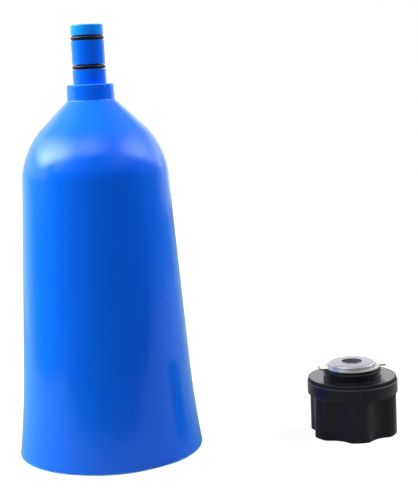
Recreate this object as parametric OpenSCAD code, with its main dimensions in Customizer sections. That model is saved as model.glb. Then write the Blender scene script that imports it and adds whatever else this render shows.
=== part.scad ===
// Oil-filling funnel stood on its mouth, with its filler-neck adapter beside it.
// The adapter plugs over the O-ringed spigot and locks into a filler neck by its steel ears.
// Millimetres, +Z up, origin under the middle of the pair, on the surface it stands on.

/* [Funnel body] */
// Outside diameter of the mouth rim
mouth_d = 115.2; // [105:0.2:130]
// Height from the mouth to the foot of the neck
body_h = 218.3; // [205:0.1:240]
// Wall thickness of the body
wall = 2.2; // [1.6:0.1:3]
// Taper of the straight wall, degrees from upright
wall_taper = 3.5; // [2.5:0.1:4.5]
// How far the rim flares out beyond the straight wall
flare = 2.25; // [0.5:0.25:4]
// Height over which the rim flares
flare_h = 55; // [30:1:80]
// Slope of the shoulder cone, degrees from upright
shoulder_angle = 45.8; // [42:0.2:50]
// Outside radius of the round shoulder
shoulder_r = 44; // [30:1:48]
// Diameter of the neck at its foot
neck_d = 29; // [27:0.1:32]
// Height of the neck
neck_h = 9.7; // [7:0.1:13]
// Narrowing of the neck towards its end, on the radius
neck_draft = 0.3; // [0:0.1:0.6]
// Fillet at the neck's foot
neck_fillet = 1.5; // [0.5:0.1:3]
// Round on the neck's end
neck_round = 0.8; // [0.4:0.1:1.2]
// Chamfer on the mouth rim
rim_chamfer = 0.3; // [0.2:0.1:0.8]

/* [Spout] */
// Diameter of the spigot's middle land, which guides the adapter
spigot_d = 20; // [19.4:0.1:22]
// Length of the spigot beyond the neck
spigot_l = 35.6; // [33:0.2:42]
// Bore through the spigot
spout_bore_d = 12.4; // [10:0.2:13]
// Step on the radius from the tip land to the middle land, and on to the root land
land_step = 0.15; // [0.05:0.05:0.25]
// Round on the spigot's tip
tip_round = 0.8; // [0.4:0.1:1.2]
// Length of the tip land, up to the middle of the first groove
tip_land = 8; // [6:0.2:10]
// Distance between the two grooves
groove_pitch = 17.3; // [14:0.1:18]
// Chamfer on the edges of the grooves
groove_chamfer = 0.25; // [0.1:0.05:0.4]
// Wall of the spout's plug inside the neck
plug_wall = 2.4; // [1.8:0.1:3]
// Width of the plug's conical skirt, along the shoulder
skirt_l = 9; // [5:0.5:14]
// Gap for the adhesive between the spout and the body
glue_gap = 0.1; // [0.05:0.05:0.2]

/* [O-rings] */
// Cross-section of the O-rings
o_ring_cs = 2.6; // [2.2:0.1:2.8]
// How far an O-ring stands proud of the middle land
o_ring_proud = 0.2; // [0.1:0.05:0.22]
// Play of the O-ring along its groove
groove_play = 0.3; // [0.2:0.1:1]

/* [Adapter grip] */
// Diameter over the lobes at their top, and over the ring above them
grip_d = 57.2; // [55:0.2:62]
// Depth of the hollows between the lobes
hollow_depth = 4.7; // [3.6:0.1:5.6]
// Radius of each lobe's nose
lobe_nose_r = 9; // [8:0.1:10]
// Number of lobes
lobe_count = 6; // [5:1:8]
// Height of the lobed part
lobe_h = 26.2; // [24:0.2:32]
// Narrowing of the lobes towards the foot, on the radius
lobe_draft = 0.3; // [0:0.1:1]
// Round on the foot of the lobes
foot_round = 1; // [0.5:0.25:2]
// Wall thickness of the lobed skirt
grip_wall = 2.3; // [1.8:0.1:2.8]
// Height of the ring seat above the lobes, which is also the ring's height
ring_h = 8; // [6:0.1:10]
// Thickness of the deck that closes the grip
deck = 4.8; // [4:0.2:6]
// Thickness of the ribs between the socket and the skirt
rib_t = 1.8; // [1.4:0.1:2.4]
// Wall of the socket tube
socket_wall = 2.6; // [2:0.1:3.2]
// Clearance of the socket over the spigot, on the radius
socket_play = 0.08; // [0.02:0.02:0.12]
// How far the socket's mouth lies inside the foot
foot_recess = 1.5; // [1:0.1:2.5]
// How far the ribs lie inside the foot
rib_recess = 3; // [2:0.5:6]
// Chamfer on the socket's mouth
socket_chamfer = 1.2; // [0.6:0.1:1.6]

/* [Adapter ring and seals] */
// Radial thickness of the ring
ring_t = 2.9; // [2.2:0.1:3.4]
// Chamfer on the ring's edges
ring_chamfer = 0.4; // [0.2:0.1:0.8]
// Thickness of the flat flange gasket
gasket_t = 2.3; // [1.6:0.1:3.2]
// How far the gasket's edge lies inside the ring's
gasket_inset = 0.65; // [0.2:0.05:1.2]
// Round on the gasket's upper edge
gasket_round = 0.6; // [0.3:0.1:1]
// Diameter over the neck seal's lips, the bore of the filler neck
filler_d = 36.6; // [35.4:0.2:38]
// Thickness of the neck seal at its lips
seal_t = 1.8; // [1.4:0.1:2.2]
// Height of the neck seal, and of the boss inside it, over the gasket
seal_h = 4.5; // [4:0.1:5]
// Height of each of the neck seal's two lips
lip_h = 1.5; // [1:0.1:1.5]
// Depth of the groove between the neck seal's lips
lip_depth = 0.6; // [0.3:0.1:0.8]
// Height of the slope from a lip to the groove's floor
lip_slope = 0.4; // [0.2:0.05:0.45]
// Chamfer on the upper lip
lip_chamfer = 0.3; // [0.2:0.1:0.5]

/* [Bayonet] */
// Sheet thickness of the bayonet plate
plate_t = 0.9; // [0.7:0.1:1]
// Diameter of the plate's flat brim
brim_d = 35; // [33:0.2:36]
// Span over the two ears
ear_span = 42.4; // [40:0.2:46]
// Width of an ear
ear_w = 10; // [8:0.5:12]
// Turn of the ears against the grip's lobes, degrees
ear_turn = 5; // [-30:1:30]
// Corner radius of an ear
ear_corner = 1.2; // [0.6:0.1:2]
// Radius of the relief notch beside an ear
ear_notch = 1; // [0.6:0.1:1.4]
// Gap under the brim, above the boss
brim_gap = 1.4; // [0.8:0.1:2]
// Diameter of the plate's raised crown
crown_d = 29.4; // [26:0.2:30]
// Height of the crown over the brim
crown_h = 2.3; // [2.2:0.1:3.5]
// Outside round on the crown's edge
crown_round = 1.6; // [1.2:0.1:2]
// Bore of the draw tube, which lets the oil out
outlet_d = 12.8; // [12:0.2:13]
// Wall of the draw tube
tube_wall = 0.7; // [0.7:0.05:0.9]
// Radius added by the tube's collar, under the crown
tube_collar = 2.9; // [2:0.1:4]
// Thickness of the tube's lip over the crown
tube_lip_t = 0.3; // [0.2:0.1:0.6]
// Radius added by the tube's lip
tube_lip = 0.6; // [0.3:0.1:1]
// Clearance of the tube in the boss and the plate, on the radius
tube_play = 0.09; // [0.03:0.02:0.1]
// Travel of the plate against its spring
plate_travel = 2; // [1:0.1:2.4]

/* [Bayonet spring] */
// Step from the socket down to the spring's chamber, on the radius
stop_step = 1.1; // [0.8:0.1:1.4]
// Thickness of the boss's end wall
end_wall = 2; // [1.6:0.1:2.6]
// Wire of the spring
spring_wire = 0.9; // [0.8:0.1:1.1]
// Turns of the spring
spring_turns = 2.5; // [2:0.25:3]
// Room left between the spring's turns, in all, when the plate is drawn right out
spring_spare = 0.3; // [0.2:0.1:0.8]
// Thickness of the washer under the spring
washer_t = 0.8; // [0.6:0.1:1]
// Clearance of the washer in the chamber, on the radius
washer_play = 0.3; // [0.2:0.05:0.5]
// Thickness of the snap ring that holds the washer
clip_t = 0.7; // [0.5:0.1:0.8]
// Depth of the snap ring's groove
clip_groove = 0.3; // [0.2:0.05:0.4]
// Opening of the snap ring, degrees
clip_opening = 70; // [50:5:90]
// How far the draw tube's end lies inside the chamber
tube_recess = 0.2; // [0.1:0.05:0.4]

/* [Layout] */
// Distance of the adapter from the funnel, axis to axis, to the right
adapter_right = 155; // [130:1:200]
// Distance of the adapter behind the funnel's axis
adapter_back = 7; // [0:1:20]
// Turn of the adapter about its own axis, degrees
adapter_turn = 2; // [-30:1:30]

/* [Hidden] */
$fn = 96;
arc_steps = 10;
shoulder_steps = 24;
flare_steps = 14;
spring_sides = 8;
rings_per_turn = 16;
// Overrun of a cut past the face that it opens
cut = 0.1;
// Play of a small part against its neighbour
rest_gap = 0.05;
// How much larger a hollow's radius is than one that only touches the lobes, so that it cuts them
hollow_ease = 1.01;

mouth_r = mouth_d / 2;
neck_r = neck_d / 2;
grip_r = grip_d / 2;
hollow_r = grip_r - hollow_depth;
origin_shift = (adapter_right + grip_r - mouth_r) / 2;
funnel_at = [-origin_shift, 0, 0];
adapter_at = [adapter_right - origin_shift, adapter_back, 0];

// Spout and O-ring sizes, up the funnel's axis
neck_top = body_h + neck_h;
spigot_top = neck_top + spigot_l;
spigot_r = spigot_d / 2;
tip_r = spigot_r - land_step;
root_r = spigot_r + land_step;
spout_bore_r = spout_bore_d / 2;
plug_r = neck_r - plug_wall;
groove_w = o_ring_cs + groove_play;
groove_floor_r = spigot_r + o_ring_proud - o_ring_cs;
tip_groove_z = spigot_top - tip_land;
root_groove_z = tip_groove_z - groove_pitch;

// Adapter levels, up the adapter's axis
deck_top = lobe_h + ring_h;
gasket_top = deck_top + gasket_t;
boss_top = gasket_top + seal_h;
brim_low = boss_top + brim_gap;
crown_under = brim_low + crown_h;
crown_top = crown_under + plate_t;
seat_r = grip_r - ring_t;
boss_r = filler_d / 2 - seal_t;
tube_r = outlet_d / 2 + tube_wall;
hole_r = tube_r + tube_play;

// Spring stack inside the boss, from its end wall down to the socket
chamber_top = boss_top - end_wall;
chamber_r = spigot_r - stop_step;
spring_r = (tube_r + chamber_r) / 2;
spring_pitch = spring_wire + (plate_travel + spring_spare) / spring_turns;
spring_z = chamber_top - rest_gap - spring_wire - spring_pitch * spring_turns;
washer_z = spring_z - rest_gap - washer_t;
clip_z = washer_z - rest_gap - clip_t;
tube_low = clip_z - clip_t;
socket_top = tube_low - tube_recess;
socket_r = spigot_r + socket_play;

// Points on an arc about a centre, from one angle to another
function arc(centre, r, from, to, steps) =
    [for (i = [0:steps])
        let (turn = from + (to - from) * i / steps)
        centre + r * [cos(turn), sin(turn)]];

// Straight body wall and shoulder cone, moved inwards by an inset
function wall_radius(z, inset) =
    mouth_r - flare - inset / cos(wall_taper) - z * tan(wall_taper);
function cone_radius(z, inset) =
    neck_r - inset / cos(shoulder_angle) + (body_h - z) * tan(shoulder_angle);
function cone_height(r, inset) =
    body_h - (r - neck_r + inset / cos(shoulder_angle)) / tan(shoulder_angle);
// Height where the wall and the shoulder cone would meet in a sharp corner
function corner_height(inset) =
    (cone_radius(0, inset) - wall_radius(0, inset)) / (tan(shoulder_angle) - tan(wall_taper));
// Body outline from the mouth to the end of the shoulder's round, moved inwards by an inset
function body_outline(inset) =
    let (round_r = shoulder_r - inset,
         reach = round_r * tan((shoulder_angle - wall_taper) / 2),
         corner_z = corner_height(inset),
         start_z = corner_z - reach * cos(wall_taper),
         start = [wall_radius(start_z, inset), start_z],
         centre = start - round_r * [cos(wall_taper), sin(wall_taper)])
    concat([for (i = [0:flare_steps])
                let (z = flare_h * i / flare_steps)
                [wall_radius(z, inset) + flare * pow(1 - z / flare_h, 2), z]],
           arc(centre, round_r, wall_taper, shoulder_angle, shoulder_steps));

// Centre line of the spring, and the tube wound on it
function spring_point(i) =
    let (turn = 360 * i / rings_per_turn)
    [spring_r * cos(turn), spring_r * sin(turn),
     spring_z + spring_wire / 2 + spring_pitch * i / rings_per_turn];
spring_rings = floor(spring_turns * rings_per_turn);
spring_line = [for (i = [0:spring_rings]) spring_point(i)];
spring_gap = min([for (i = [0:spring_rings - rings_per_turn])
                  norm(spring_line[i + rings_per_turn] - spring_line[i])]) - spring_wire;
echo(least_gap_between_spring_turns = spring_gap);

module funnel_body() {
    inner = body_outline(wall);
    outer = body_outline(0);
    end_r = neck_r - neck_draft;
    lean = atan(neck_draft / neck_h);
    reach = neck_fillet * tan((shoulder_angle - lean) / 2);
    fillet_at = [neck_r, body_h] + reach * [-sin(lean), cos(lean)]
                + neck_fillet * [cos(lean), sin(lean)];
    color("dodgerblue") rotate_extrude()
        polygon(concat(
            [[outer[0][0], rim_chamfer]],
            [for (i = [1:len(outer) - 1]) outer[i]],
            arc(fillet_at, neck_fillet, 180 + shoulder_angle, 180 + lean, arc_steps),
            arc([end_r - neck_round, neck_top - neck_round], neck_round, 0, 90, arc_steps),
            [[plug_r, neck_top],
             [plug_r, cone_height(plug_r, wall)]],
            [for (i = [len(inner) - 1:-1:1]) inner[i]],
            [[inner[0][0], rim_chamfer],
             [inner[0][0] + rim_chamfer, 0],
             [outer[0][0] - rim_chamfer, 0]]));
}

// Section of a groove in the spigot, from the land below it to the land above it
function groove(z, low_r, high_r) =
    let (half = groove_w / 2)
    [[low_r, z - half - groove_chamfer],
     [low_r - groove_chamfer, z - half],
     [groove_floor_r, z - half],
     [groove_floor_r, z + half],
     [high_r - groove_chamfer, z + half],
     [high_r, z + half + groove_chamfer]];

module spout() {
    outer_r = plug_r - glue_gap;
    inset = wall + glue_gap;
    skirt_r = outer_r + skirt_l * sin(shoulder_angle);
    skirt_z = cone_height(skirt_r, inset);
    lead_r = skirt_r - plug_wall / cos(shoulder_angle);
    throat_z = skirt_z + (lead_r - spout_bore_r) / tan(shoulder_angle);
    color("dodgerblue") rotate_extrude()
        polygon(concat(
            [[skirt_r, skirt_z],
             [outer_r, cone_height(outer_r, inset)],
             [outer_r, neck_top],
             [root_r, neck_top]],
            groove(root_groove_z, root_r, spigot_r),
            groove(tip_groove_z, spigot_r, tip_r),
            arc([tip_r - tip_round, spigot_top - tip_round], tip_round, 0, 90, arc_steps),
            [[spout_bore_r, spigot_top],
             [spout_bore_r, throat_z],
             [lead_r, skirt_z]]));
}

module o_ring(z) {
    color([0.06, 0.06, 0.07]) translate([0, 0, z]) rotate_extrude()
        translate([groove_floor_r + o_ring_cs / 2, 0]) circle(d = o_ring_cs - rest_gap);
}

// Face of the lobed grip: round noses on a disc, with round hollows cut between them
module lobed_face(top_r, dip_to, nose_r) {
    half = 180 / lobe_count;
    nose_at = top_r - nose_r;
    apart = pow(nose_at, 2) + pow(dip_to, 2) - 2 * nose_at * dip_to * cos(half);
    touch_r = (apart - pow(nose_r, 2)) / (2 * (nose_r - dip_to + nose_at * cos(half)));
    touch_at = dip_to + touch_r;
    turn = atan2(touch_at * sin(half), touch_at * cos(half) - nose_at);
    dip_r = hollow_ease * touch_r;
    difference() {
        union() {
            circle(norm([nose_at + nose_r * cos(turn), nose_r * sin(turn)]));
            for (k = [0:lobe_count - 1])
                rotate(2 * half * k + half) translate([nose_at, 0]) circle(nose_r);
        }
        for (k = [0:lobe_count - 1])
            rotate(2 * half * k) translate([dip_to + dip_r, 0]) circle(dip_r);
    }
}

// Lobed prism with tapered, round-footed noses
module lobed_skirt() {
    foot_r = grip_r - lobe_draft;
    intersection() {
        linear_extrude(lobe_h) lobed_face(grip_r, hollow_r, lobe_nose_r);
        rotate_extrude()
            polygon(concat([[0, 0]],
                           arc([foot_r - foot_round, foot_round], foot_round, -90, 0, arc_steps),
                           [[grip_r + cut, lobe_h], [0, lobe_h]]));
    }
}

// Hollow under the deck, with the lobes' shape below the ring seat
module grip_hollow() {
    inner_r = grip_r - lobe_draft - grip_wall;
    top_z = lobe_h - grip_wall;
    translate([0, 0, -cut])
        linear_extrude(top_z + cut)
            lobed_face(inner_r, hollow_r - grip_wall, lobe_nose_r - grip_wall);
    translate([0, 0, top_z - cut])
        cylinder(r = seat_r - grip_wall, h = deck_top - deck - top_z + cut);
}

module socket_tube() {
    translate([0, 0, foot_recess])
        cylinder(r = socket_r + socket_wall, h = deck_top - deck - foot_recess + cut);
}

module grip_ribs() {
    for (k = [0:lobe_count - 1])
        rotate(360 / lobe_count * k)
            translate([socket_r + socket_wall / 2, -rib_t / 2, rib_recess])
                cube([hollow_r - grip_wall / 2 - socket_r - socket_wall / 2, rib_t,
                      deck_top - deck - rib_recess + cut]);
}

module adapter_grip() {
    color([0.12, 0.12, 0.14]) difference() {
        union() {
            difference() {
                union() {
                    lobed_skirt();
                    translate([0, 0, lobe_h - cut]) cylinder(r = seat_r, h = ring_h + cut);
                }
                grip_hollow();
            }
            socket_tube();
            grip_ribs();
            translate([0, 0, deck_top - cut]) cylinder(r = boss_r, h = boss_top - deck_top + cut);
        }
        translate([0, 0, foot_recess - cut])
            cylinder(r = socket_r, h = socket_top - foot_recess + cut);
        translate([0, 0, foot_recess - cut])
            cylinder(r1 = socket_r + socket_chamfer + cut, r2 = socket_r, h = socket_chamfer + cut);
        translate([0, 0, socket_top - cut])
            cylinder(r = chamber_r, h = chamber_top - socket_top + cut);
        translate([0, 0, chamber_top - cut]) cylinder(r = hole_r, h = end_wall + 2 * cut);
    }
}

module grip_ring() {
    color([0.13, 0.13, 0.15]) rotate_extrude()
        polygon([[seat_r, lobe_h],
                 [grip_r - ring_chamfer, lobe_h],
                 [grip_r, lobe_h + ring_chamfer],
                 [grip_r, deck_top - ring_chamfer],
                 [grip_r - ring_chamfer, deck_top],
                 [seat_r, deck_top]]);
}

module flange_gasket() {
    edge_r = grip_r - gasket_inset;
    round_at = [edge_r - gasket_round, gasket_top - gasket_round];
    color([0.05, 0.05, 0.06]) rotate_extrude()
        polygon(concat([[boss_r, deck_top], [edge_r, deck_top]],
                       arc(round_at, gasket_round, 0, 90, arc_steps),
                       [[boss_r, gasket_top]]));
}

module neck_seal() {
    lip_r = boss_r + seal_t;
    color([0.06, 0.06, 0.07]) rotate_extrude()
        polygon([[boss_r, gasket_top],
                 [lip_r, gasket_top],
                 [lip_r, gasket_top + lip_h],
                 [lip_r - lip_depth, gasket_top + lip_h + lip_slope],
                 [lip_r - lip_depth, boss_top - lip_h - lip_slope],
                 [lip_r, boss_top - lip_h],
                 [lip_r, boss_top - lip_chamfer],
                 [lip_r - lip_chamfer, boss_top],
                 [boss_r, boss_top]]);
}

// One ear of the bayonet plate, from the axis out along +X
module ear() {
    tip = ear_span / 2;
    translate([0, -ear_w / 2]) square([tip - ear_corner, ear_w]);
    translate([0, ear_corner - ear_w / 2]) square([tip, ear_w - 2 * ear_corner]);
    for (side = [-1, 1])
        translate([tip - ear_corner, side * (ear_w / 2 - ear_corner)]) circle(ear_corner);
}

module bayonet_plate() {
    crown_r = crown_d / 2;
    brim_r = brim_d / 2;
    round_at = [crown_r - crown_round, crown_top - crown_round];
    notch_y = ear_w / 2 + ear_notch;
    notch_x = sqrt(pow(brim_r, 2) - pow(notch_y, 2));
    color("silver") difference() {
        union() {
            rotate_extrude()
                polygon(concat(
                    [[hole_r, crown_under], [hole_r, crown_top]],
                    arc(round_at, crown_round, 90, 0, arc_steps),
                    [[crown_r, brim_low + plate_t],
                     [brim_r, brim_low + plate_t],
                     [brim_r, brim_low],
                     [crown_r - plate_t, brim_low]],
                    arc(round_at, crown_round - plate_t, 0, 90, arc_steps)));
            translate([0, 0, brim_low]) linear_extrude(plate_t) difference() {
                for (turn = [0, 180])
                    rotate(ear_turn + turn) ear();
                circle(crown_r - plate_t / 2);
            }
        }
        for (turn = [0, 180])
            for (side = [-1, 1])
                rotate(ear_turn + turn) translate([notch_x, side * notch_y, brim_low - cut])
                    cylinder(r = ear_notch, h = plate_t + 2 * cut);
    }
}

module draw_tube() {
    bore_r = outlet_d / 2;
    groove_r = tube_r - clip_groove;
    color("silver") rotate_extrude()
        polygon([[bore_r, tube_low],
                 [tube_r, tube_low],
                 [tube_r, clip_z - rest_gap],
                 [groove_r, clip_z - rest_gap],
                 [groove_r, clip_z + clip_t + rest_gap],
                 [tube_r, clip_z + clip_t + rest_gap],
                 [tube_r, boss_top],
                 [tube_r + tube_collar, boss_top],
                 [tube_r + tube_collar, crown_under],
                 [tube_r, crown_under],
                 [tube_r, crown_top],
                 [tube_r + tube_lip, crown_top],
                 [tube_r + tube_lip, crown_top + tube_lip_t / 2],
                 [tube_r + tube_lip / 2, crown_top + tube_lip_t],
                 [bore_r, crown_top + tube_lip_t]]);
}

module plate_spring() {
    sides = [for (s = [0:spring_sides - 1]) 360 * s / spring_sides];
    points = [for (i = [0:spring_rings])
                  let (turn = 360 * i / rings_per_turn, at = spring_line[i])
                  each [for (a = sides)
                            at + spring_wire / 2 * [cos(a) * cos(turn), cos(a) * sin(turn), sin(a)]]];
    last = spring_rings * spring_sides;
    skin = [for (i = [0:spring_rings - 1])
                for (s = [0:spring_sides - 1])
                    let (t = (s + 1) % spring_sides,
                         a = i * spring_sides + s, b = i * spring_sides + t,
                         c = a + spring_sides, d = b + spring_sides)
                    each [[a, b, d], [a, d, c]]];
    caps = [for (s = [1:spring_sides - 2]) each [[0, s + 1, s], [last, last + s, last + s + 1]]];
    color("gray") polyhedron(points, concat(skin, caps));
}

module spring_washer() {
    color("silver") translate([0, 0, washer_z]) difference() {
        cylinder(r = chamber_r - washer_play, h = washer_t);
        translate([0, 0, -cut]) cylinder(r = hole_r, h = washer_t + 2 * cut);
    }
}

module snap_ring() {
    inner_r = tube_r - clip_groove + rest_gap;
    outer_r = spring_r;
    wedge_x = outer_r + cut;
    wedge_y = wedge_x * tan(clip_opening / 2);
    color("dimgray") translate([0, 0, clip_z]) linear_extrude(clip_t) difference() {
        circle(outer_r);
        circle(inner_r);
        polygon([[0, 0], [wedge_x, -wedge_y], [wedge_x, wedge_y]]);
    }
}

module on_funnel() { translate(funnel_at) children(); }
module on_adapter() { translate(adapter_at) rotate(adapter_turn) children(); }

on_funnel() funnel_body();
on_funnel() spout();
on_funnel() o_ring(tip_groove_z);  // tip_o_ring
on_funnel() o_ring(root_groove_z);  // root_o_ring
on_adapter() adapter_grip();
on_adapter() grip_ring();
on_adapter() flange_gasket();
on_adapter() neck_seal();
on_adapter() bayonet_plate();
on_adapter() draw_tube();
on_adapter() plate_spring();
on_adapter() spring_washer();
on_adapter() snap_ring();
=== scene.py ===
"""Filling funnel and its filler-neck adapter: finishes, stage and camera."""

from math import atan2, cos, pi, radians, sin, tan

import bmesh
import bpy
from bpy.props import FloatProperty, FloatVectorProperty, PointerProperty
from mathutils import Matrix, Vector, noise


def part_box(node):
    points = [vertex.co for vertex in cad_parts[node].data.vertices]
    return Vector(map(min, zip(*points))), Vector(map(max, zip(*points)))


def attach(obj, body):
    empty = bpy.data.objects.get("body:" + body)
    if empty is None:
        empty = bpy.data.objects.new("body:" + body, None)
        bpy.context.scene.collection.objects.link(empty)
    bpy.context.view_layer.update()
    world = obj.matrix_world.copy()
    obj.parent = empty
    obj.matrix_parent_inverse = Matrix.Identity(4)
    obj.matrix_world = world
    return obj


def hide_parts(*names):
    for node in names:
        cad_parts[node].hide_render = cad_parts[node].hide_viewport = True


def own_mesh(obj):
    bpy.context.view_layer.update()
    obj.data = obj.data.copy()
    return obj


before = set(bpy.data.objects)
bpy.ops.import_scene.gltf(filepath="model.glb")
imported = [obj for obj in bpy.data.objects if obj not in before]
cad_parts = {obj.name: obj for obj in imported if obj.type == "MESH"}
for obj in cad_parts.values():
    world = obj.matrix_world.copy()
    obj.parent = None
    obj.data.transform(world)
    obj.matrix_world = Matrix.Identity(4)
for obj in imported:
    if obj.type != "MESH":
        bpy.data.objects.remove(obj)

bl_info = {
    "name": "Filling funnel",
    "version": (1, 0, 0),
    "blender": (4, 5, 0),
    "location": "View3D > Sidebar > Funnel",
    "description": "Dresses a filling funnel and its filler-neck adapter",
    "category": "Object",
}

bpy.context.view_layer.update()
MM = 0.001


def axis_of(node):
    """Point on the standing surface under a round node's axis."""
    low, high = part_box(node)
    return Vector(((low[0] + high[0]) / 2, (low[1] + high[1]) / 2, 0))


def extent(node, side):
    """Size of a node's box along one side."""
    low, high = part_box(node)
    return high[side] - low[side]


FUNNEL_AXIS = axis_of("funnel_body")
ADAPTER_AXIS = axis_of("grip_ring")

# Camera as fitted to the photograph: its place in metres, its lens and sensor in millimetres
CAMERA_PLACE = Vector((0.00447, -0.71104, 0.23263))
CAMERA_PITCH = radians(8.79)
CAMERA_ROLL = radians(2.70)
CAMERA_LENS = 83.36
SENSOR_WIDTH = 36

# Heading from the front to the right and height, in degrees, length in metres, and tint of each lamp
LAMPS = {
    "left": (-84, 36, 1.1, (0.96, 1.0, 0.62)),
    "front_left": (-58, 50, 0.9, (0.95, 0.93, 1.0)),
    "front": (-2, 63, 1.3, (0.95, 0.93, 1.0)),
    "right": (101, 39, 0.9, (1.0, 1.0, 0.85)),
}
LAMP_AIM = Vector((-0.04, 0, 0.15))
LAMP_DISTANCE = 1.0
LAMP_WIDTH = 0.45

WHITE = (1, 1, 1, 1)
ROOM_TINT = (0.95, 0.95, 1, 1)
FLOOR_TINT = (0.88, 0.89, 1, 1)
FLOOR_RIGHT = 3.0
FLOOR_BACK = 1.7

# Fineness of the modelled pieces
FLARE_STEPS = 14
SHOULDER_SEGMENTS = 28
EDGE_SEGMENTS = 6
LARGE_ROUND = 5 * MM
TURN_STEPS = 160
SHARP_ANGLE = radians(35)
WIRE_SIDES = 12
WINDING_STEPS = 48


def length(label, description, default, low, high):
    """A size in metres that a user may change."""
    return FloatProperty(name=label, description=description, default=default, min=low, max=high,
                         subtype="DISTANCE", unit="LENGTH", precision=5)


def angle(label, description, default, low, high):
    """An angle that a user may change, given in degrees."""
    return FloatProperty(name=label, description=description, default=radians(default),
                         min=radians(low), max=radians(high), subtype="ANGLE", unit="ROTATION")


def colour(label, description, default):
    """A colour that a user may change."""
    return FloatVectorProperty(name=label, description=description, default=default, size=3,
                               min=0, max=1, subtype="COLOR")


def factor(label, description, default):
    """A share from 0 to 1 that a user may change."""
    return FloatProperty(name=label, description=description, default=default, min=0, max=1,
                         subtype="FACTOR")


def strength(label, description, default):
    """How bright mirrored light is, where 1 is white."""
    return FloatProperty(name=label, description=description, default=default, min=0, max=20)


def watts(label, description, default):
    """The power of a lamp."""
    return FloatProperty(name=label, description=description, default=default, min=0, max=200,
                         subtype="POWER", unit="POWER")


class FunnelSizes(bpy.types.PropertyGroup):
    """Shape of the funnel's body and of the adapter's spring."""

    mouth_d: length("Mouth", "Outside diameter of the mouth rim",
                    extent("funnel_body", 0), 0.1, 0.13)
    neck_top: length("Height", "Height of the body up to the neck's end",
                     extent("funnel_body", 2), 0.2, 0.25)
    wall: length("Wall", "Wall thickness", 2.2 * MM, 1.5 * MM, 3 * MM)
    taper: angle("Taper", "Taper of the straight wall", 3.5, 2, 5)
    flare: length("Flare", "How far the rim flares out", 2.25 * MM, 0, 4 * MM)
    flare_h: length("Flare height", "Height over which the rim flares", 0.055, 0.03, 0.08)
    shoulder_angle: angle("Shoulder", "Slope of the shoulder, from upright", 45.8, 42, 50)
    shoulder_r: length("Shoulder round", "Outside radius of the shoulder's round",
                       0.044, 0.03, 0.048)
    neck_d: length("Neck", "Diameter of the neck at its foot", 0.029, 0.027, 0.032)
    neck_h: length("Neck height", "Height of the neck", 9.7 * MM, 7 * MM, 13 * MM)
    neck_draft: length("Neck draft", "Narrowing of the neck", 0.3 * MM, 0, 0.6 * MM)
    neck_fillet: length("Neck fillet", "Fillet at the neck's foot", 1.5 * MM, 0.5 * MM, 3 * MM)
    neck_round: length("Neck round", "Round on the neck's end", 0.8 * MM, 0.4 * MM, 1.2 * MM)
    neck_wall: length("Neck wall", "Wall of the neck round the spout", 2.4 * MM, 1.8 * MM, 3 * MM)
    rim_round: length("Rim round", "Round on the mouth rim", 0.4 * MM, 0.2 * MM, 0.8 * MM)
    rim_wave: length("Rim wave", "Unevenness of the trimmed mouth rim", 0.35 * MM, 0, 1 * MM)
    spring_wire: length("Spring wire", "Diameter of the plate spring's wire",
                        0.9 * MM, 0.8 * MM, 1.1 * MM)
    spring_turns: FloatProperty(name="Spring turns", description="Turns of the plate spring",
                                default=2.5, min=2, max=3)


class FunnelFinish(bpy.types.PropertyGroup):
    """Colours and finishes."""

    blue: colour("Funnel blue", "Colour of the funnel's plastic", (0.0022, 0.107, 0.92))
    # Painted highlight: a paler cyan along the mouth rim's lower edge, for light caught by the rim
    rim_highlight_blue: colour("Rim highlight blue", "Colour of the painted highlight along the mouth rim",
                      (0.06, 0.5, 1.0))
    # Painted light: the spout's thin tip is paler, for light that passes through and falls onto it
    tip_light_blue: colour("Tip light blue", "Colour of the plastic at the spout's thin tip",
                     (0.0103, 0.267, 1.0))
    blue_roughness: factor("Funnel roughness", "Roughness of the funnel's plastic", 0.13)
    black: colour("Grip black", "Colour of the adapter's plastic", (0.0036, 0.0032, 0.0078))
    # Painted highlight on the ring's top and bottom edges and its parting line
    ring_highlight_black: colour("Ring highlight black", "Colour of the painted highlight on the ring's edges and parting line",
                       (0.02, 0.019, 0.026))
    black_roughness: factor("Grip roughness", "Roughness of the adapter's plastic", 0.4)
    rubber: colour("Rubber", "Colour of the O-rings and seals", (0.006, 0.0055, 0.008))
    dust: colour("Dust", "Colour of the dust on the rubber", (0.10, 0.10, 0.105))
    steel: colour("Plating", "Colour of the bayonet plate's plating", (0.58, 0.58, 0.61))
    # Painted highlight on the plate's brim and the ears' tops
    brim_highlight_steel: colour("Brim highlight", "Colour of the plating on the brim and the ears",
                         (0.93, 0.91, 0.85))
    warm_steel: colour("Warm plating", "Colour of the plating's warmer patches",
                       (0.6, 0.58, 0.56))
    scratched_steel: colour("Scratches", "Colour of the plating's scratches", (0.52, 0.52, 0.54))
    # Painted shade on the ears' edge faces
    ear_edge_shade: colour("Ear edge shade", "Colour of the painted shade on the ears' edges", (0.06, 0.055, 0.06))
    spring_steel: colour("Spring steel", "Colour of the spring, washer and snap ring",
                         (0.42, 0.42, 0.44))


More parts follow.
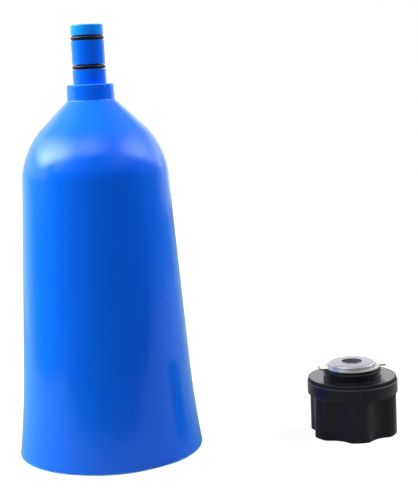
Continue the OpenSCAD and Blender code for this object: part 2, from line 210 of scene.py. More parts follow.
class FunnelStage(bpy.types.PropertyGroup):
    """Floor, lamps and mirrored light."""

    floor_front: length("Floor front", "How far the floor reaches in front of the origin",
                        0.257, 0.12, 3)
    floor_left: length("Floor left", "How far the floor reaches to the left of the origin",
                       0.42, 0.2, 3)
    floor_grey: factor("Floor grey", "How much light the floor gives back", 0.2)
    floor_glow: factor("Floor glow", "How white the floor is by itself", 0.86)
    left_power: watts("Left lamp", "Power of the lamp on the left", 27)
    front_left_power: watts("Front left lamp", "Power of the lamp at the front left", 3.8)
    front_power: watts("Front lamp", "Power of the weak lamp at the front", 3.1)
    right_power: watts("Right lamp", "Power of the lamp on the right", 13.3)
    ambient: factor("Ambient", "Strength of the even light from all round", 0.06)
    band_left: strength("Band left", "Extra mirrored light at the band's left end", 8.6)
    band_middle: strength("Band middle", "Mirrored light along the band's left and middle", 3.3)
    band_right: strength("Band right", "Extra mirrored light at the band's right end", 4.7)


def feed(tree, socket, value):
    """Links an input to another node's socket, or sets it to a value."""
    if isinstance(value, bpy.types.NodeSocket):
        tree.links.new(value, socket)
    else:
        socket.default_value = value


def add_node(tree, kind, inputs=None, **settings):
    """A node with its settings and its inputs, which are given by name or number."""
    node = tree.nodes.new(kind)
    for name, value in settings.items():
        setattr(node, name, value)
    for name, value in (inputs or {}).items():
        feed(tree, node.inputs[name], value)
    return node


def add_math(tree, operation, *values, clamp=False):
    """The output of a Math node."""
    node = add_node(tree, "ShaderNodeMath", dict(enumerate(values)), operation=operation,
                    use_clamp=clamp)
    return node.outputs[0]


def add_product(tree, first, *others):
    """The product of several values."""
    for value in others:
        first = add_math(tree, "MULTIPLY", first, value)
    return first


def add_ramp(tree, value, low, high):
    """A value stretched so that low gives 0 and high gives 1, smoothly."""
    node = add_node(tree, "ShaderNodeMapRange", {"Value": value, "From Min": low, "From Max": high},
                    interpolation_type="SMOOTHSTEP")
    return node.outputs["Result"]


def add_mix(tree, share, first, second):
    """A colour between two colours. On this node, sockets 6 and 7 take colours and 2 gives one."""
    node = add_node(tree, "ShaderNodeMix", {0: share, 6: first, 7: second}, data_type="RGBA")
    return node.outputs[2]


def add_noise(tree, vector, scale, detail=2.0):
    """The value of a noise texture."""
    node = add_node(tree, "ShaderNodeTexNoise",
                    {"Vector": vector, "Scale": scale, "Detail": detail})
    return node.outputs[0]


def add_place(tree, origin=(0, 0, 0), scale=(1, 1, 1), turn=0.0):
    """Object coordinates about a point, turned about the upright and then stretched."""
    where = add_node(tree, "ShaderNodeTexCoord")
    shift = add_node(tree, "ShaderNodeVectorMath",
                     {0: where.outputs["Object"], 1: tuple(origin)}, operation="SUBTRACT")
    node = add_node(tree, "ShaderNodeMapping",
                    {"Vector": shift.outputs[0], "Rotation": (0, 0, turn), "Scale": scale})
    return node.outputs[0]


def add_radius(tree, place):
    """Distance from the upright through the coordinates' origin."""
    flat = add_node(tree, "ShaderNodeVectorMath", {0: place, 1: (1, 1, 0)}, operation="MULTIPLY")
    size = add_node(tree, "ShaderNodeVectorMath", {0: flat.outputs[0]}, operation="LENGTH")
    return size.outputs["Value"]


def add_height(tree, place):
    """Height of a point."""
    return add_node(tree, "ShaderNodeSeparateXYZ", {"Vector": place}).outputs["Z"]


def new_group(name, inputs, output_names):
    """A node group with named sockets, and its input and output nodes."""
    tree = bpy.data.node_groups.new(name, "ShaderNodeTree")
    for label, kind, value in inputs:
        socket = tree.interface.new_socket(label, in_out="INPUT", socket_type="NodeSocket" + kind)
        if value is not None:
            socket.default_value = value
    for label, kind in output_names:
        tree.interface.new_socket(label, in_out="OUTPUT", socket_type="NodeSocket" + kind)
    source, sink = tree.nodes.new("NodeGroupInput"), tree.nodes.new("NodeGroupOutput")
    return tree, source.outputs, sink.inputs


def moulded_skin_group():
    """Cloudy shade, uneven gloss and fine grain of a moulded surface."""
    name = "moulded_skin"
    if name in bpy.data.node_groups:
        return bpy.data.node_groups[name]
    tree, given, result = new_group(
        name,
        [("Vector", "Vector", None), ("Color", "Color", (0.5, 0.5, 0.5, 1)),
         ("Shade Spread", "Float", 0.1), ("Patch Scale", "Float", 30.0),
         ("Grain Scale", "Float", 900.0), ("Roughness", "Float", 0.4),
         ("Roughness Spread", "Float", 0.1)],
        [("Color", "Color"), ("Roughness", "Float"), ("Height", "Float")])
    patch = add_noise(tree, given["Vector"], given["Patch Scale"], 3)
    grain = add_noise(tree, given["Vector"], given["Grain Scale"], 3)
    shade = add_math(tree, "MULTIPLY_ADD", add_math(tree, "SUBTRACT", patch, 0.5),
                     given["Shade Spread"], 1.0)
    shaded = add_node(tree, "ShaderNodeVectorMath", {"Vector": given["Color"], "Scale": shade},
                      operation="SCALE")
    mixed = add_math(tree, "ADD", add_math(tree, "MULTIPLY", patch, 0.6),
                     add_math(tree, "MULTIPLY", grain, 0.4))
    rough = add_math(tree, "MULTIPLY_ADD", add_math(tree, "SUBTRACT", mixed, 0.5),
                     given["Roughness Spread"], given["Roughness"])
    tree.links.new(shaded.outputs[0], result["Color"])
    tree.links.new(rough, result["Roughness"])
    tree.links.new(grain, result["Height"])
    return tree


def fine_scratches_group():
    """Mask of thin straight scratches in two directions."""
    name = "fine_scratches"
    if name in bpy.data.node_groups:
        return bpy.data.node_groups[name]
    tree, given, result = new_group(
        name, [("Vector", "Vector", None), ("Scale", "Float", 150.0), ("Threshold", "Float", 0.6)],
        [("Mask", "Float")])
    masks = []
    for turn in (0.5, 1.9):
        along = add_node(tree, "ShaderNodeMapping", {"Vector": given["Vector"],
                         "Rotation": (0, 0, turn), "Scale": (1, 22, 6)})
        streak = add_noise(tree, along.outputs[0], given["Scale"], 1)
        over = add_math(tree, "SUBTRACT", streak, given["Threshold"])
        masks.append(add_math(tree, "MULTIPLY", over, 12.0, clamp=True))
    tree.links.new(add_math(tree, "MAXIMUM", *masks), result["Mask"])
    return tree


def use_group(tree, group, **values):
    """A placed node group. Underscores in the names stand for spaces."""
    node = add_node(tree, "ShaderNodeGroup", node_tree=group)
    for name, value in values.items():
        feed(tree, node.inputs[name.replace("_", " ")], value)
    return node.outputs


def new_material(name, **constants):
    """A material with its node tree and its shader's inputs, of which plain values are set."""
    material = bpy.data.materials.new(name)
    material.use_nodes = True
    tree = material.node_tree
    shader = tree.nodes["Principled BSDF"]
    for label, value in constants.items():
        shader.inputs[label.replace("_", " ")].default_value = value
    return material, tree, shader.inputs


def add_bump(tree, shader, height, distance, strength=1.0):
    """Relief of a height map, in metres."""
    node = add_node(tree, "ShaderNodeBump",
                    {"Height": height, "Distance": distance, "Strength": strength})
    tree.links.new(node.outputs[0], shader["Normal"])


def opaque(rgb):
    """A colour property as a shader colour."""
    return (*rgb, 1)


def blue_plastic(finish, name, turned):
    """Glossy moulded blue plastic, with a painted highlight along the mouth rim. A turned piece has
    lathe lines, and painted light at its thin tip."""
    material, tree, shader = new_material(name, Specular_IOR_Level=0.5,
                                          Specular_Tint=(0.8, 1, 1, 1), Sheen_Weight=0.75,
                                          Sheen_Roughness=0.4, Sheen_Tint=(0.1, 0.8, 1, 1))
    place = add_place(tree, FUNNEL_AXIS)
    skin = use_group(tree, moulded_skin_group(), Vector=place, Color=opaque(finish.blue),
                     Shade_Spread=0.10, Patch_Scale=22.0, Grain_Scale=380.0,
                     Roughness=finish.blue_roughness, Roughness_Spread=0.06)
    height = add_height(tree, place)
    if turned:
        rings = add_node(tree, "ShaderNodeTexWave",
                         {"Vector": place, "Scale": 420.0, "Distortion": 1.5, "Detail": 2.0,
                          "Detail Scale": 1.5}, bands_direction="Z")
        relief = add_math(tree, "MULTIPLY_ADD", rings.outputs["Fac"], 0.7, skin["Height"])
        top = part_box("spout")[1][2]
        # Painted light: the top of the spout is blended towards a paler blue
        painted_light = add_ramp(tree, height, top - 11.6 * MM, top - 1.6 * MM)
        paler = finish.tip_light_blue
    else:
        drag = add_noise(tree, add_place(tree, FUNNEL_AXIS, (300, 300, 6)), 1.0, 2)
        relief = add_math(tree, "MULTIPLY_ADD", drag, 2.0, skin["Height"])
        # Painted highlight: a paler cyan band along the rim's lower edge, with an uneven top, for
        # light caught by the rim
        ragged = add_math(tree, "MULTIPLY_ADD", add_noise(tree, place, 260.0, 3), 1.2 * MM, height)
        painted_light = add_ramp(tree, ragged, 1.7 * MM, 1.1 * MM)
        paler = finish.rim_highlight_blue
    # Share of painted light in the base colour: the rim highlight on the body, the tip's light on the
    # spout
    share = add_math(tree, "MULTIPLY", painted_light, 0.8)
    scuffs = use_group(tree, fine_scratches_group(), Vector=place, Scale=45.0, Threshold=0.62)
    dulled = add_math(tree, "MULTIPLY_ADD", scuffs["Mask"], 0.1, skin["Roughness"])
    tree.links.new(add_mix(tree, share, skin["Color"], opaque(paler)), shader["Base Color"])
    tree.links.new(dulled, shader["Roughness"])
    add_bump(tree, shader, relief, 0.03 * MM)
    return material


def black_plastic(finish, name, ring=None):
    """Satin black plastic with a fine grain. A ring, given by its box, has a raised parting line, and
    a painted highlight along the parting line and its top and bottom edges."""
    material, tree, shader = new_material(name, Specular_IOR_Level=0.48,
                                          Specular_Tint=(0.86, 0.84, 1, 1), Sheen_Weight=0.4,
                                          Sheen_Roughness=0.3, Sheen_Tint=(0.8, 0.78, 1, 1))
    place = add_place(tree, ADAPTER_AXIS)
    skin = use_group(tree, moulded_skin_group(), Vector=place, Color=opaque(finish.black),
                     Shade_Spread=0.5, Patch_Scale=70.0, Grain_Scale=2200.0,
                     Roughness=finish.black_roughness, Roughness_Spread=0.16)
    relief, base = skin["Height"], skin["Color"]
    if ring:
        parting_turn = radians(87)
        across = add_place(tree, ADAPTER_AXIS, turn=parting_turn)
        parts = add_node(tree, "ShaderNodeSeparateXYZ", {"Vector": across}).outputs
        apart = add_math(tree, "ABSOLUTE", parts["Y"])
        line = add_product(tree, add_ramp(tree, apart, 0.5 * MM, 0.1 * MM),
                           add_math(tree, "GREATER_THAN", parts["X"], 0.0))
        relief = add_math(tree, "MULTIPLY_ADD", line, 8.0, relief)
        middle, half = (ring[0][2] + ring[1][2]) / 2, (ring[1][2] - ring[0][2]) / 2
        off_middle = add_math(tree, "ABSOLUTE", add_math(tree, "SUBTRACT", parts["Z"], middle))
        # Painted highlight: worn mixes the ring's top and bottom edges and the parting line towards a
        # paler black where they catch the light; the parting line is also raised in the relief
        edges = add_ramp(tree, off_middle, half - 0.6 * MM, half - 0.2 * MM)
        worn = add_math(tree, "MULTIPLY", add_math(tree, "MAXIMUM", line, edges), 0.5)
        base = add_mix(tree, worn, base, opaque(finish.ring_highlight_black))
    scratches = use_group(tree, fine_scratches_group(), Vector=place, Scale=60.0, Threshold=0.66)
    dulled = add_math(tree, "MULTIPLY_ADD", scratches["Mask"], 0.12, skin["Roughness"])
    tree.links.new(base, shader["Base Color"])
    tree.links.new(dulled, shader["Roughness"])
    add_bump(tree, shader, relief, 0.02 * MM, 0.7)
    return material


def seal_rubber(finish, name, roughness, dust, cut_r=None):
    """Black rubber with a faint bloom of dust, duller outside the radius where it was cut."""
    material, tree, shader = new_material(name, Specular_IOR_Level=0.44,
                                          Specular_Tint=(0.86, 0.85, 1, 1))
    place = add_place(tree, ADAPTER_AXIS)
    skin = use_group(tree, moulded_skin_group(), Vector=place, Color=opaque(finish.rubber),
                     Shade_Spread=0.6, Patch_Scale=120.0, Grain_Scale=1500.0,
                     Roughness=roughness, Roughness_Spread=0.12)
    specks = add_ramp(tree, add_noise(tree, place, 1900.0, 2), 0.66, 0.74)
    dusty = add_mix(tree, add_math(tree, "MULTIPLY", specks, dust), skin["Color"],
                    opaque(finish.dust))
    rough = skin["Roughness"]
    if cut_r:
        dull = add_ramp(tree, add_radius(tree, place), cut_r - 0.3 * MM, cut_r + 0.1 * MM)
        rough = add_math(tree, "MULTIPLY_ADD", dull, 0.5, rough)
    tree.links.new(dusty, shader["Base Color"])
    tree.links.new(rough, shader["Roughness"])
    add_bump(tree, shader, skin["Height"], 0.012 * MM, 0.6)
    return material


def plated_steel(finish):
    """Zinc-plated sheet with cloudy plating and handling scratches, with a painted highlight on the
    brim and the ears' tops, and painted shade on the ears' edge faces."""
    sheet = 0.9 * MM
    brim_r = extent("bayonet_plate", 1) / 2
    ear_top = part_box("bayonet_plate")[0][2] + sheet
    material, tree, shader = new_material("plated_steel", Metallic=1.0)
    place = add_place(tree, ADAPTER_AXIS)
    clouds = add_ramp(tree, add_noise(tree, place, 90.0, 4), 0.42, 0.66)
    plating = add_mix(tree, clouds, opaque(finish.steel), opaque(finish.warm_steel))
    scratches = use_group(tree, fine_scratches_group(), Vector=place, Scale=130.0, Threshold=0.58)
    worn = add_mix(tree, add_math(tree, "MULTIPLY", scratches["Mask"], 0.5), plating,
                   opaque(finish.scratched_steel))
    skin = use_group(tree, moulded_skin_group(), Vector=place, Color=worn, Shade_Spread=0.25,
                     Patch_Scale=160.0, Grain_Scale=2600.0, Roughness=0.44, Roughness_Spread=0.2)
    relief = add_math(tree, "MULTIPLY_ADD", scratches["Mask"], -0.8, skin["Height"])
    out = add_radius(tree, place)
    # Painted highlight: brim and bright hold the lighter plating on the brim and the ears' tops, where
    # they mirror the bright room
    brim = add_ramp(tree, out, brim_r - 2.7 * MM, brim_r - 0.3 * MM)
    bright = add_mix(tree, brim, skin["Color"], opaque(finish.brim_highlight_steel))
    # Painted shade: edge and sheared mark the ears' edge faces below their tops, painted near black
    # where they fall in shade
    edge = add_product(tree, add_math(tree, "GREATER_THAN", out, brim_r + 0.1 * MM),
                       add_math(tree, "LESS_THAN", add_height(tree, place), ear_top - 0.05 * MM))
    sheared = add_mix(tree, edge, bright, opaque(finish.ear_edge_shade))
    tree.links.new(sheared, shader["Base Color"])
    tree.links.new(skin["Roughness"], shader["Roughness"])
    add_bump(tree, shader, relief, 0.015 * MM, 0.7)
    return material


def plain_steel(finish):
    """Drawn steel of the hidden spring stack, with a film of oil."""
    material, tree, shader = new_material("plain_steel", Metallic=1.0)
    skin = use_group(tree, moulded_skin_group(), Vector=add_place(tree),
                     Color=opaque(finish.spring_steel), Shade_Spread=0.3, Patch_Scale=200.0,
                     Grain_Scale=3000.0, Roughness=0.34, Roughness_Spread=0.2)
    tree.links.new(skin["Color"], shader["Base Color"])
    tree.links.new(skin["Roughness"], shader["Roughness"])
    add_bump(tree, shader, skin["Height"], 0.01 * MM, 0.5)
    return material


def finish_node(node, material):
    """Puts a material on a CAD node's slots."""
    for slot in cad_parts[node].material_slots:
        slot.material = material


def finished_mesh(bm, name):
    """The mesh of a bmesh, which is freed."""
    mesh = bpy.data.meshes.new(name)
    bm.to_mesh(mesh)
    bm.free()
    return mesh


def link_new(name, data):
    """A new object in the scene."""
    obj = bpy.data.objects.new(name, data)
    bpy.context.scene.collection.objects.link(obj)
    return obj


def funnel_corners(size):
    """Corners of the body's section, as radius, height and the length that a round takes off each
    side."""
    mouth_r, neck_r = size.mouth_d / 2, size.neck_d / 2
    body_h = size.neck_top - size.neck_h
    slope = 1 / tan(size.shoulder_angle)

    def wall_r(z, inset):
        """Radius of the straight wall at a height, and of its inside for an inset."""
        return mouth_r - size.flare - inset / cos(size.taper) - z * tan(size.taper)

    def cone_h(r, inset):
        """Height of the shoulder's cone at a radius, and of its inside for an inset."""
        return body_h - slope * (r - neck_r + inset / cos(size.shoulder_angle))

    def side(inset):
        """Corners from the rim, up the flare, to the shoulder's round."""
        heights = [size.flare_h * step / FLARE_STEPS for step in range(FLARE_STEPS + 1)]
        flared = [(wall_r(z, inset) + size.flare * (1 - z / size.flare_h) ** 2, z, 0)
                  for z in heights]
        rim = (flared[0][0], 0, size.rim_round)
        corner_z = (cone_h(0, inset) - slope * wall_r(0, inset)) / (1 - slope * tan(size.taper))
        reach = (size.shoulder_r - inset) * tan((size.shoulder_angle - size.taper) / 2)
        return [rim, *flared[1:], (wall_r(corner_z, inset), corner_z, reach)]

    fillet = size.neck_fillet * tan(size.shoulder_angle / 2)
    hole_r = neck_r - size.neck_wall
    neck = [(neck_r, body_h, fillet), (neck_r - size.neck_draft, size.neck_top, size.neck_round),
            (hole_r, size.neck_top, 0), (hole_r, cone_h(hole_r, size.wall), 0)]
    return side(0) + neck + side(size.wall)[::-1]


def roughen_rim(bm, wave):
    """Lifts the mouth rim unevenly, fading out up the wall."""
    reach, waviness, seed = 6 * MM, 2.2, 0.4
    for vert in bm.verts:
        if vert.co.z < reach:
            out = vert.co - FUNNEL_AXIS
            turn = atan2(out.y, out.x)
            lift = noise.noise(Vector((waviness * cos(turn), waviness * sin(turn), seed)))
            vert.co.z += wave * max(0, 0.5 + lift) * (1 - vert.co.z / reach)


def funnel_mesh(size):
    """The body spun from its section, with rounded corners and an uneven rim."""
    bm = bmesh.new()
    corners = funnel_corners(size)
    points = [bm.verts.new(FUNNEL_AXIS + Vector((r, 0, z))) for r, z, _ in corners]
    for one, two in zip(points, points[1:] + points[:1]):
        bm.edges.new((one, two))
    for point, (_, _, reach) in zip(points, corners):
        if reach:
            segments = SHOULDER_SEGMENTS if reach > LARGE_ROUND else EDGE_SEGMENTS
            bmesh.ops.bevel(bm, geom=[point], offset=reach, offset_type="OFFSET", segments=segments,
                            profile=0.5, affect="VERTICES", material=-1)
    bmesh.ops.spin(bm, geom=bm.verts[:] + bm.edges[:], cent=FUNNEL_AXIS, axis=(0, 0, 1),
                   angle=2 * pi, steps=TURN_STEPS, use_merge=True)
    bmesh.ops.remove_doubles(bm, verts=bm.verts[:], dist=0.001 * MM)
    bmesh.ops.recalc_face_normals(bm, faces=bm.faces[:])
    roughen_rim(bm, size.rim_wave)
    for edge in bm.edges:
        edge.smooth = edge.calc_face_angle(0) < SHARP_ANGLE
    for face in bm.faces:
        face.smooth = True
    return finished_mesh(bm, "funnel_shell")


def spring_mesh(size):
    """The coil, wound from its wire's section in the CAD spring's box."""
    low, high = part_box("plate_spring")
    wire_r = size.spring_wire / 2
    coil_r = extent("plate_spring", 0) / 2 - wire_r
    rise = high[2] - low[2] - size.spring_wire
    steps = round(size.spring_turns * WINDING_STEPS)
    bm = bmesh.new()
    start = Matrix.Translation(ADAPTER_AXIS + Vector((coil_r, 0, low[2] + wire_r)))
    bmesh.ops.create_circle(bm, segments=WIRE_SIDES, radius=wire_r,
                            matrix=start @ Matrix.Rotation(pi / 2, 4, "X"))
    bmesh.ops.spin(bm, geom=bm.verts[:] + bm.edges[:], cent=ADAPTER_AXIS, axis=(0, 0, 1),
                   dvec=(0, 0, rise / steps), angle=2 * pi * size.spring_turns, steps=steps)
    bmesh.ops.holes_fill(bm, edges=[edge for edge in bm.edges if edge.is_boundary], sides=0)
    bmesh.ops.recalc_face_normals(bm, faces=bm.faces[:])
    for face in bm.faces:
        face.smooth = len(face.verts) == 4
    return finished_mesh(bm, "coil_spring")


class FUNNEL_OT_body(bpy.types.Operator):
    """Model the funnel's body, and finish it and the spout in blue plastic"""

    bl_idname = "funnel.body"
    bl_label = "Funnel body and spout"

    def execute(self, context):
        finish = context.scene.funnel_finish
        shell = link_new("funnel_shell", funnel_mesh(context.scene.funnel_sizes))
        shell.data.materials.append(blue_plastic(finish, "funnel_blue", False))
        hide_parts("funnel_body")
        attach(shell, "funnel")
        finish_node("spout", blue_plastic(finish, "spout_blue", True))
        return {"FINISHED"}


class FUNNEL_OT_o_rings(bpy.types.Operator):
    """Finish the spigot's two O-rings in rubber"""

    bl_idname = "funnel.o_rings"
    bl_label = "O-rings"

    def execute(self, context):
        rubber = seal_rubber(context.scene.funnel_finish, "o_ring_rubber", roughness=0.22, dust=0.3)
        for node in ("tip_o_ring", "root_o_ring"):
            finish_node(node, rubber)
        return {"FINISHED"}


class FUNNEL_OT_grip(bpy.types.Operator):
    """Finish the adapter's grip and ring in black plastic"""

    bl_idname = "funnel.grip"
    bl_label = "Adapter grip"

    def execute(self, context):
        finish = context.scene.funnel_finish
        finish_node("adapter_grip", black_plastic(finish, "grip_black"))
        finish_node("grip_ring", black_plastic(finish, "ring_black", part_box("grip_ring")))
        return {"FINISHED"}


class FUNNEL_OT_seals(bpy.types.Operator):
    """Finish the adapter's gasket and neck seal in rubber"""

    bl_idname = "funnel.seals"
    bl_label = "Adapter seals"

    def execute(self, context):
        finish = context.scene.funnel_finish
        cut_r = extent("flange_gasket", 0) / 2 - 0.55 * MM
        finish_node("flange_gasket", seal_rubber(finish, "gasket_rubber", roughness=0.24, dust=0.15,
                                                 cut_r=cut_r))
        finish_node("neck_seal", seal_rubber(finish, "neck_seal_rubber", roughness=0.34, dust=0.2))
        return {"FINISHED"}


class FUNNEL_OT_plate(bpy.types.Operator):
    """Finish the bayonet plate, its tube and the washer and ring under them in steel"""

    bl_idname = "funnel.plate"
    bl_label = "Bayonet plate"

    def execute(self, context):
        finish = context.scene.funnel_finish
        plated = plated_steel(finish)
        for node in ("bayonet_plate", "draw_tube"):
            finish_node(node, plated)
        hidden = plain_steel(finish)
        for node in ("spring_washer", "snap_ring"):
            finish_node(node, hidden)
        return {"FINISHED"}


class FUNNEL_OT_spring(bpy.types.Operator):
    """Model the plate spring's coil at the CAD spring's length; the real spring shortens as the
    bayonet plate is drawn out
    """

    bl_idname = "funnel.spring"
    bl_label = "Plate spring"

    def execute(self, context):
        spring = link_new("coil_spring", spring_mesh(context.scene.funnel_sizes))
        spring.data.materials.append(plain_steel(context.scene.funnel_finish))
        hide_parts("plate_spring")
        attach(spring, "adapter")
        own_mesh(spring)
        return {"FINISHED"}


def add_lamp(name, power):
    """A soft lamp round the pair, which lights but isn't mirrored: the white room is mirrored
    instead."""
    heading, height, size, tint = LAMPS[name]
    lamp = bpy.data.lights.new(name + "_lamp", "AREA")
    lamp.shape = "RECTANGLE"
    lamp.size, lamp.size_y = size, LAMP_WIDTH
    lamp.energy = power
    lamp.color = tint
    obj = link_new(name + "_lamp", lamp)
    side, up = radians(heading), radians(height)
    out = Vector((sin(side) * cos(up), -cos(side) * cos(up), sin(up)))
    obj.location = LAMP_AIM + LAMP_DISTANCE * out
    obj.rotation_mode = "QUATERNION"
    obj.rotation_quaternion = (-out).to_track_quat("-Z", "Y")
    obj.visible_camera = obj.visible_glossy = False


def floor_material(stage):
    """White floor that keeps the shadows: partly lit, partly white by itself, and all white far back.
    It is mirrored as dim in front and paler behind the pair."""
    far_glow, front_mirror, back_mirror = 0.3, 0.06, 0.34
    material = bpy.data.materials.new("floor_white")
    material.use_nodes = True
    tree = material.node_tree
    tree.nodes.clear()
    path = add_node(tree, "ShaderNodeLightPath").outputs
    place = add_node(tree, "ShaderNodeTexCoord").outputs["Object"]
    parts = add_node(tree, "ShaderNodeSeparateXYZ", {"Vector": place}).outputs
    far = add_ramp(tree, parts["Y"], 0.15, 0.9)
    aside = add_math(tree, "ABSOLUTE", parts["X"])
    behind = add_ramp(tree, add_math(tree, "SUBTRACT", parts["Y"], aside), -0.05, 0.3)
    seen = add_math(tree, "MULTIPLY_ADD", far, far_glow, stage.floor_glow)
    mirror = add_math(tree, "MULTIPLY_ADD", behind, back_mirror, front_mirror)
    mirrored = add_math(tree, "MAXIMUM", path["Is Glossy Ray"], path["Is Transmission Ray"])
    glow = add_math(tree, "MULTIPLY_ADD", path["Is Camera Ray"], seen,
                    add_math(tree, "MULTIPLY", mirrored, mirror))
    lit = add_node(tree, "ShaderNodeBsdfDiffuse", {"Color": opaque((stage.floor_grey,) * 3)})
    tint = add_mix(tree, mirrored, WHITE, FLOOR_TINT)
    glowing = add_node(tree, "ShaderNodeEmission", {"Color": tint, "Strength": glow})
    both = add_node(tree, "ShaderNodeAddShader", {0: lit.outputs[0], 1: glowing.outputs[0]})
    add_node(tree, "ShaderNodeOutputMaterial", {"Surface": both.outputs[0]})
    return material


def mirrored_tent(tree, x, y, z):
    """Pale surroundings to be mirrored, by direction: a backdrop, a roof that is brighter to both
    sides, and a wall that is brighter on the left."""
    back = add_math(tree, "MULTIPLY_ADD", x, -0.05, y)
    back = add_math(tree, "MULTIPLY_ADD", add_math(tree, "MAXIMUM", z, 0.0), -0.5, back)
    backdrop = add_math(tree, "MULTIPLY_ADD", add_ramp(tree, y, 0.86, 0.96), 0.6,
                        add_ramp(tree, back, 0.15, 0.8))
    aside = add_ramp(tree, add_math(tree, "ABSOLUTE", x), 0.2, 0.7)
    roof = add_product(tree, add_ramp(tree, z, 0.25, 0.6),
                       add_math(tree, "MULTIPLY_ADD", aside, 0.6, 0.1))
    leftness = add_math(tree, "MULTIPLY_ADD", add_ramp(tree, x, -0.3, 0.3), -1.1, 1.3)
    wall = add_product(tree, leftness, add_ramp(tree, y, -0.4, -0.05),
                       add_ramp(tree, z, -0.05, 0.12), add_ramp(tree, z, 0.8, 0.4))
    return add_math(tree, "MAXIMUM", backdrop, add_math(tree, "MAXIMUM", roof, wall))


def mirrored_band(tree, stage, x, y, z):
    """Bright band to be mirrored on the shoulder, by direction: from the left, over the top, to the
    right, with slanted edges, and weaker towards the back."""
    slant, lean = 0.12, 0.5
    right, left = add_math(tree, "MAXIMUM", x, 0.0), add_math(tree, "MINIMUM", x, 0.0)
    over = add_math(tree, "MULTIPLY_ADD", right, -slant, z)
    over = add_math(tree, "MULTIPLY_ADD", add_math(tree, "MINIMUM", y, right), lean, over)
    under = add_math(tree, "MULTIPLY_ADD", left, -slant, z)
    under = add_math(tree, "MULTIPLY_ADD", y, lean, under)
    lower_edge = add_ramp(tree, over, 0.23, 0.46)
    upper_edge = add_math(tree, "MULTIPLY_ADD", add_ramp(tree, under, 0.48, 0.98), -0.93, 1.0)
    turned = add_math(tree, "MULTIPLY_ADD", y, 0.25, x)
    level = add_math(tree, "MULTIPLY", add_ramp(tree, x, 0.6, -0.1), stage.band_middle)
    level = add_math(tree, "MULTIPLY_ADD", add_ramp(tree, turned, 0.35, 0.95), stage.band_right, level)
    level = add_math(tree, "MULTIPLY_ADD", add_ramp(tree, x, -0.3, -0.95), stage.band_left, level)
    loss = add_math(tree, "MULTIPLY_ADD", add_ramp(tree, x, 0.2, -0.2), -0.15, -0.6)
    fading = add_math(tree, "MULTIPLY_ADD", add_ramp(tree, y, 0.0, 0.6), loss, 1.0)
    return add_product(tree, level, lower_edge, upper_edge, fading)


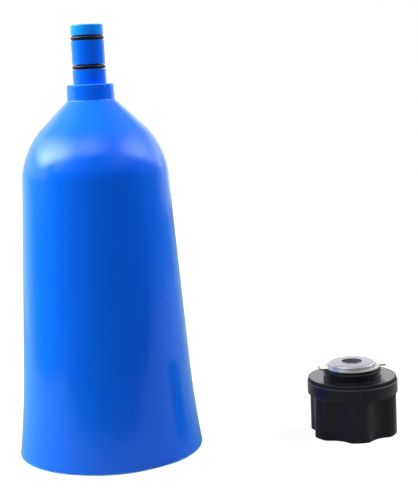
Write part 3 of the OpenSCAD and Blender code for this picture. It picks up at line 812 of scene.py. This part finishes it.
class FUNNEL_OT_stage(bpy.types.Operator):
    """Set the floor, the lamps, the white surroundings and the camera"""

    bl_idname = "funnel.stage"
    bl_label = "Stage and camera"

    def execute(self, context):
        scene = context.scene
        stage = scene.funnel_stage
        self.add_floor(stage)
        for name in LAMPS:
            add_lamp(name, getattr(stage, name + "_power"))
        self.add_world(scene)
        self.add_camera(scene)
        scene.view_settings.view_transform = "Standard"
        return {"FINISHED"}

    @staticmethod
    def add_floor(stage):
        """Sheet of white card under the pair."""
        bm = bmesh.new()
        sheet = bmesh.ops.create_grid(bm, x_segments=1, y_segments=1, size=0.5)["verts"]
        width, depth = stage.floor_left + FLOOR_RIGHT, stage.floor_front + FLOOR_BACK
        middle = Vector((FLOOR_RIGHT - stage.floor_left, FLOOR_BACK - stage.floor_front, 0)) / 2
        bmesh.ops.scale(bm, verts=sheet, vec=(width, depth, 1))
        bmesh.ops.translate(bm, verts=sheet, vec=middle)
        floor = link_new("floor", finished_mesh(bm, "floor"))
        floor.data.materials.append(floor_material(stage))

    @staticmethod
    def add_world(scene):
        """White room round the pair: white for the camera, dim for the diffuse light, and mirrored as
        a tent with a dark front and a bright band."""
        world = bpy.data.worlds.new("white_room")
        scene.world = world
        world.use_nodes = True
        tree = world.node_tree
        path = add_node(tree, "ShaderNodeLightPath").outputs
        way = add_node(tree, "ShaderNodeTexCoord").outputs["Generated"]
        x, y, z = add_node(tree, "ShaderNodeSeparateXYZ", {"Vector": way}).outputs
        room = add_math(tree, "ADD", mirrored_tent(tree, x, y, z),
                        mirrored_band(tree, scene.funnel_stage, x, y, z))
        mirrored = add_math(tree, "MULTIPLY", path["Is Glossy Ray"], room)
        straight = add_math(tree, "MAXIMUM", path["Is Camera Ray"], path["Is Transmission Ray"])
        dim = add_math(tree, "MULTIPLY", path["Is Diffuse Ray"], scene.funnel_stage.ambient)
        light = add_math(tree, "MAXIMUM", straight, add_math(tree, "MAXIMUM", mirrored, dim))
        background = tree.nodes["Background"].inputs
        tree.links.new(add_mix(tree, straight, ROOM_TINT, WHITE), background["Color"])
        tree.links.new(light, background["Strength"])

    @staticmethod
    def add_camera(scene):
        """Camera where the photograph was taken from."""
        lens = bpy.data.cameras.new("camera")
        lens.sensor_width = SENSOR_WIDTH
        lens.lens = CAMERA_LENS
        camera = link_new("camera", lens)
        ahead = Vector((0, cos(CAMERA_PITCH), -sin(CAMERA_PITCH)))
        level_up = Vector((0, sin(CAMERA_PITCH), cos(CAMERA_PITCH)))
        level_right = Vector((1, 0, 0))
        right = level_right * cos(CAMERA_ROLL) - level_up * sin(CAMERA_ROLL)
        up = level_up * cos(CAMERA_ROLL) + level_right * sin(CAMERA_ROLL)
        turn = Matrix((right, up, -ahead)).transposed().to_4x4()
        camera.matrix_world = Matrix.Translation(CAMERA_PLACE) @ turn
        scene.camera = camera


class FUNNEL_PT_panel(bpy.types.Panel):
    """Sizes, finishes and steps of the filling funnel"""

    bl_label = "Filling funnel"
    bl_idname = "FUNNEL_PT_panel"
    bl_space_type = "VIEW_3D"
    bl_region_type = "UI"
    bl_category = "Funnel"

    def draw(self, context):
        for operator in OPERATORS:
            self.layout.operator(operator.bl_idname)
        for group in GROUPS:
            box = self.layout.box()
            for name in GROUPS[group].__annotations__:
                box.prop(getattr(context.scene, group), name)


GROUPS = {"funnel_sizes": FunnelSizes, "funnel_finish": FunnelFinish, "funnel_stage": FunnelStage}
OPERATORS = (FUNNEL_OT_body, FUNNEL_OT_o_rings, FUNNEL_OT_grip, FUNNEL_OT_seals, FUNNEL_OT_plate,
             FUNNEL_OT_spring, FUNNEL_OT_stage)
CLASSES = (*GROUPS.values(), *OPERATORS, FUNNEL_PT_panel)


def register():
    """Makes the properties, the operators and the panel known to Blender."""
    for cls in CLASSES:
        bpy.utils.register_class(cls)
    for name, group in GROUPS.items():
        setattr(bpy.types.Scene, name, PointerProperty(type=group))


def unregister():
    """Takes back what register did."""
    for name in GROUPS:
        delattr(bpy.types.Scene, name)
    for cls in reversed(CLASSES):
        bpy.utils.unregister_class(cls)


def main():
    """Dresses the frame."""
    register()
    bpy.ops.funnel.stage()
    bpy.ops.funnel.body()
    bpy.ops.funnel.o_rings()
    bpy.ops.funnel.grip()
    bpy.ops.funnel.seals()
    bpy.ops.funnel.plate()
    bpy.ops.funnel.spring()
    bpy.context.view_layer.update()


if __name__ == "__main__":
    main()
